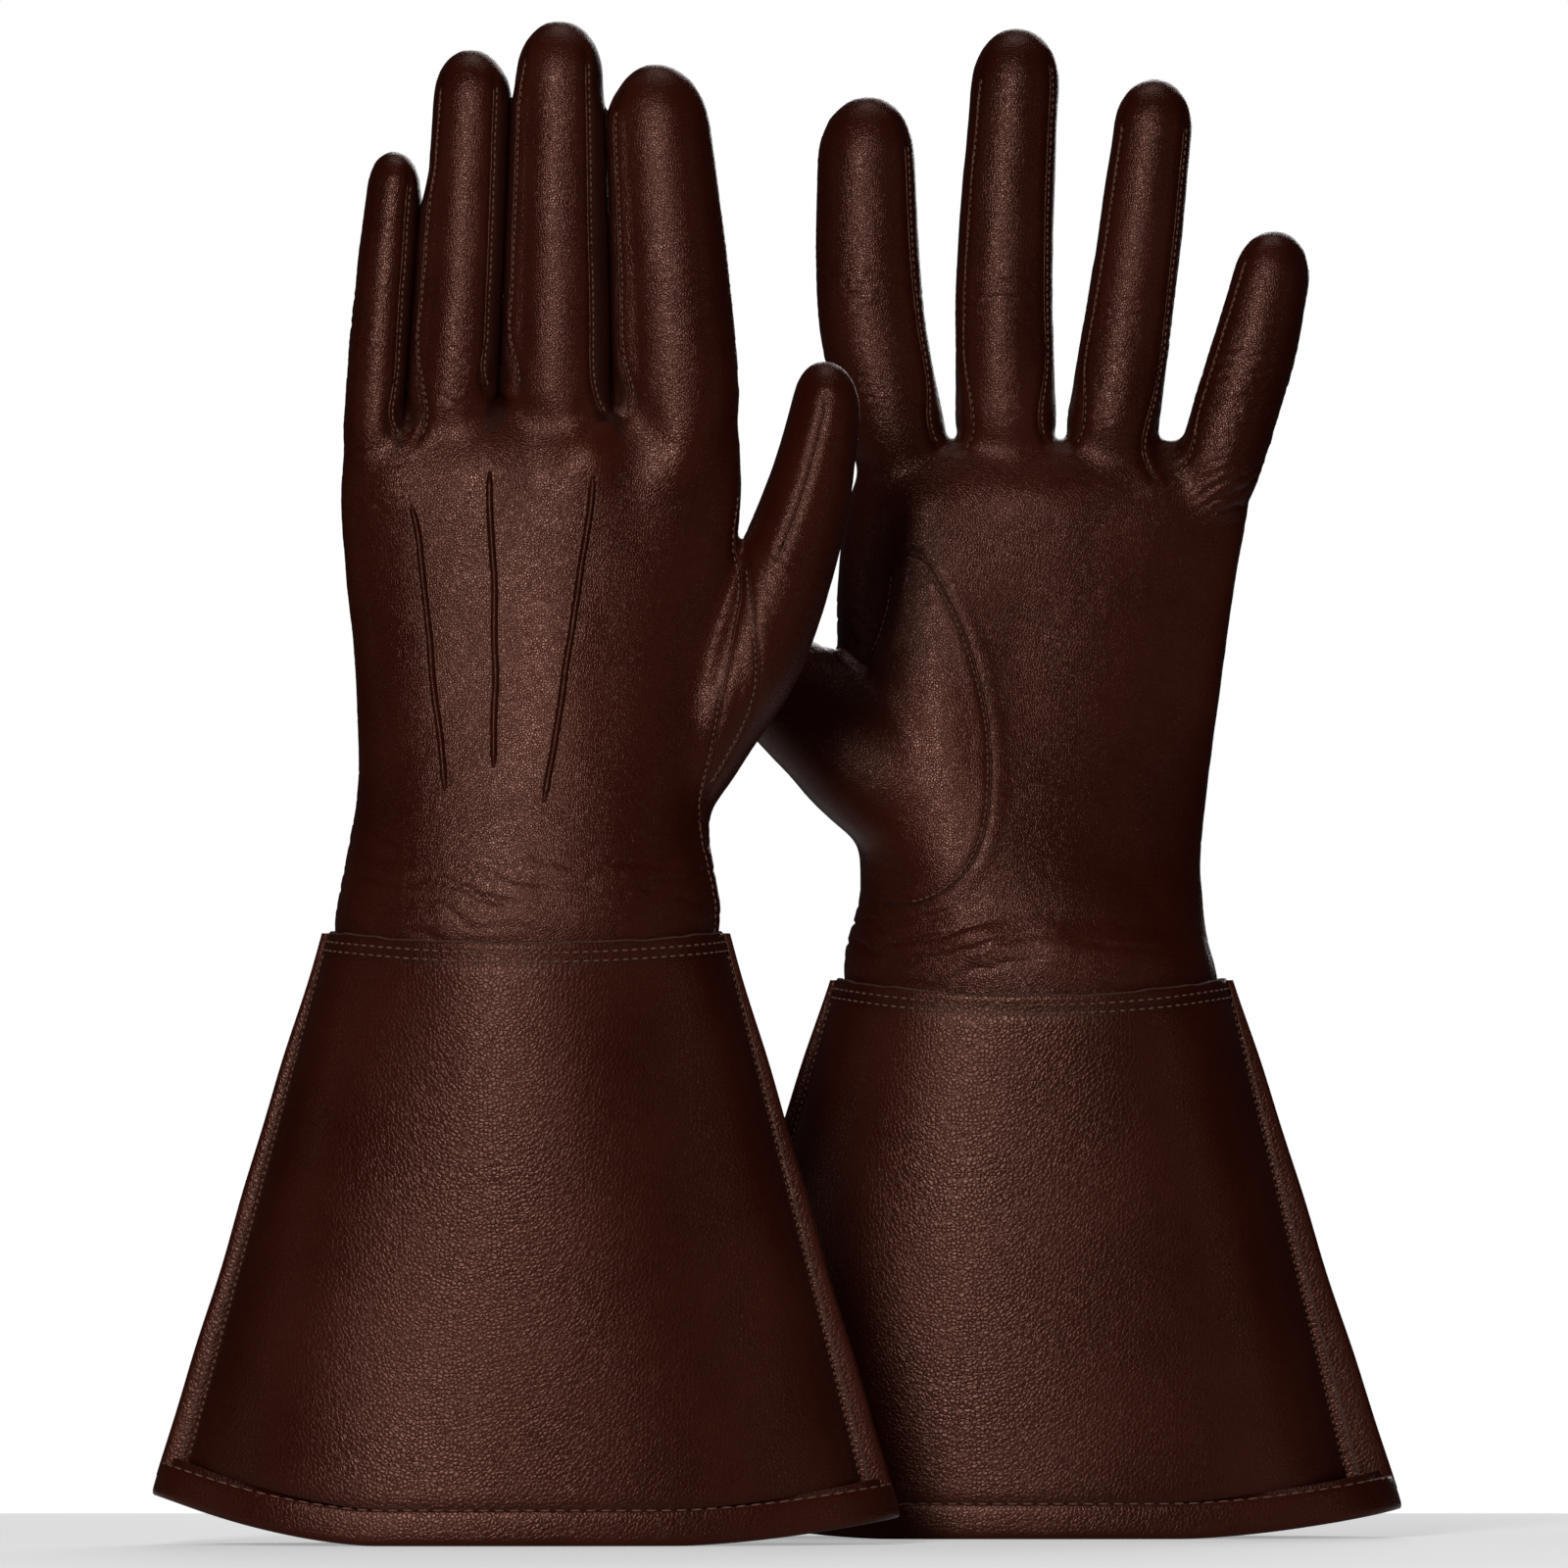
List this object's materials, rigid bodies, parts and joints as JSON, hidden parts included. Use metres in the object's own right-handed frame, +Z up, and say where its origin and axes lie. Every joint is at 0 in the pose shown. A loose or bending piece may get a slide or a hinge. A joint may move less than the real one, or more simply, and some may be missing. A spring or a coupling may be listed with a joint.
{
  "type": "gauntlet gloves",
  "caption": "Long leather riding gloves with raised points on the back, forked fingers, set-in thumbs and wide flared gauntlet cuffs, standing upright on their hems.",
  "frame": {"origin": "on the surface the gloves stand on, at the middle of the pair", "axes": "+Z up from the hems to the fingertips; +X from the front glove, which shows its back, to the rear glove, which shows its palm; +Y from the front glove to the rear glove, away from the viewer"},
  "size_m": [0.3102, 0.18, 0.3756],
  "materials": {
    "hand_leather": "soft smooth-grain oxblood-brown leather with a satin sheen",
    "cuff_leather": "firmer pebble-grain oxblood-brown leather, satin",
    "folded_strip": "folded leather strip with its cut edge showing, matt",
    "lining": "plain knitted lining, matt"
  },
  "bodies": {
    "front_cuff": {"front_cuff_back": "cuff_leather", "front_cuff_palm": "cuff_leather", "front_cuff_hem": "cuff_leather", "front_cuff_lining": "lining", "front_thumb_side_strip": "folded_strip", "front_little_side_strip": "folded_strip", "front_wrist_bend": "hand_leather"},
    "front_hand": {"front_back_panel": "hand_leather", "front_palm_panel": "hand_leather", "front_thumb_base": "hand_leather", "front_hand_lining": "lining", "front_little_fork": "hand_leather", "front_middle_fork": "hand_leather", "front_index_fork": "hand_leather", "front_little_point": "hand_leather", "front_middle_point": "hand_leather", "front_index_point": "hand_leather", "front_index_bend": "hand_leather", "front_middle_bend": "hand_leather", "front_ring_bend": "hand_leather", "front_little_bend": "hand_leather", "front_thumb_bend": "hand_leather"},
    "front_index": {"front_index_finger": "hand_leather"},
    "front_middle": {"front_middle_finger": "hand_leather"},
    "front_ring": {"front_ring_finger": "hand_leather"},
    "front_little": {"front_little_finger": "hand_leather"},
    "front_thumb": {"front_thumb_end": "hand_leather"},
    "rear_cuff": {"rear_cuff_back": "cuff_leather", "rear_cuff_palm": "cuff_leather", "rear_cuff_hem": "cuff_leather", "rear_cuff_lining": "lining", "rear_thumb_side_strip": "folded_strip", "rear_little_side_strip": "folded_strip", "rear_wrist_bend": "hand_leather"},
    "rear_hand": {"rear_back_panel": "hand_leather", "rear_palm_panel": "hand_leather", "rear_thumb_base": "hand_leather", "rear_hand_lining": "lining", "rear_little_fork": "hand_leather", "rear_middle_fork": "hand_leather", "rear_index_fork": "hand_leather", "rear_little_point": "hand_leather", "rear_middle_point": "hand_leather", "rear_index_point": "hand_leather", "rear_index_bend": "hand_leather", "rear_middle_bend": "hand_leather", "rear_ring_bend": "hand_leather", "rear_little_bend": "hand_leather", "rear_thumb_bend": "hand_leather"},
    "rear_index": {"rear_index_finger": "hand_leather"},
    "rear_middle": {"rear_middle_finger": "hand_leather"},
    "rear_ring": {"rear_ring_finger": "hand_leather"},
    "rear_little": {"rear_little_finger": "hand_leather"},
    "rear_thumb": {"rear_thumb_end": "hand_leather"}
  },
  "joints": [
    {"name": "front_wrist", "type": "hinge", "parent": "front_cuff", "child": "front_hand", "pos_m": [-0.0626, -0.056, 0.176], "axis": [-1, 0, 0], "range_deg": [-30, 30], "deforming": ["front_wrist_bend"]},
    {"name": "front_index_bend", "type": "hinge", "parent": "front_hand", "child": "front_index", "pos_m": [-0.02678, -0.056, 0.30995], "axis": [-0.9981, 0, -0.0614], "range_deg": [0, 80], "deforming": ["front_index_bend"]},
    {"name": "front_middle_bend", "type": "hinge", "parent": "front_hand", "child": "front_middle", "pos_m": [-0.05486, -0.056, 0.314], "axis": [-0.9999, 0, 0.0108], "range_deg": [0, 80], "deforming": ["front_middle_bend"]},
    {"name": "front_ring_bend", "type": "hinge", "parent": "front_hand", "child": "front_ring", "pos_m": [-0.07883, -0.056, 0.30895], "axis": [-0.9983, 0, 0.0575], "range_deg": [0, 80], "deforming": ["front_ring_bend"]},
    {"name": "front_little_bend", "type": "hinge", "parent": "front_hand", "child": "front_little", "pos_m": [-0.09853, -0.056, 0.29789], "axis": [-0.9955, 0, 0.0945], "range_deg": [0, 80], "deforming": ["front_little_bend"]},
    {"name": "front_thumb_bend", "type": "hinge", "parent": "front_hand", "child": "front_thumb", "pos_m": [0.00479, -0.04948, 0.25538], "axis": [-0.7942, -0.523, 0.3093], "range_deg": [0, 50], "deforming": ["front_thumb_bend"]},
    {"name": "pair_apart", "type": "slide", "parent": "front_cuff", "child": "rear_cuff", "axis": [1, 0, 0], "range_m": [0, 0.06]},
    {"name": "rear_wrist", "type": "hinge", "parent": "rear_cuff", "child": "rear_hand", "pos_m": [0.0626, 0.056, 0.159], "axis": [-1, 0, 0], "range_deg": [-30, 30], "deforming": ["rear_wrist_bend"]},
    {"name": "rear_index_bend", "type": "hinge", "parent": "rear_hand", "child": "rear_index", "pos_m": [0.0255, 0.056, 0.30786], "axis": [0.9961, 0, 0.0885], "range_deg": [0, 80], "deforming": ["rear_index_bend"]},
    {"name": "rear_middle_bend", "type": "hinge", "parent": "rear_hand", "child": "rear_middle", "pos_m": [0.05671, 0.056, 0.30997], "axis": [0.9992, 0, -0.0396], "range_deg": [0, 80], "deforming": ["rear_middle_bend"]},
    {"name": "rear_ring_bend", "type": "hinge", "parent": "rear_hand", "child": "rear_ring", "pos_m": [0.0861, 0.056, 0.30474], "axis": [0.9909, 0, -0.1344], "range_deg": [0, 80], "deforming": ["rear_ring_bend"]},
    {"name": "rear_little_bend", "type": "hinge", "parent": "rear_hand", "child": "rear_little", "pos_m": [0.11566, 0.056, 0.29117], "axis": [0.9654, 0, -0.2608], "range_deg": [0, 80], "deforming": ["rear_little_bend"]},
    {"name": "rear_thumb_bend", "type": "hinge", "parent": "rear_hand", "child": "rear_thumb", "pos_m": [-0.00384, 0.04755, 0.21499], "axis": [0.5909, 0.3892, 0.7066], "range_deg": [0, 50], "deforming": ["rear_thumb_bend"]}
  ]
}
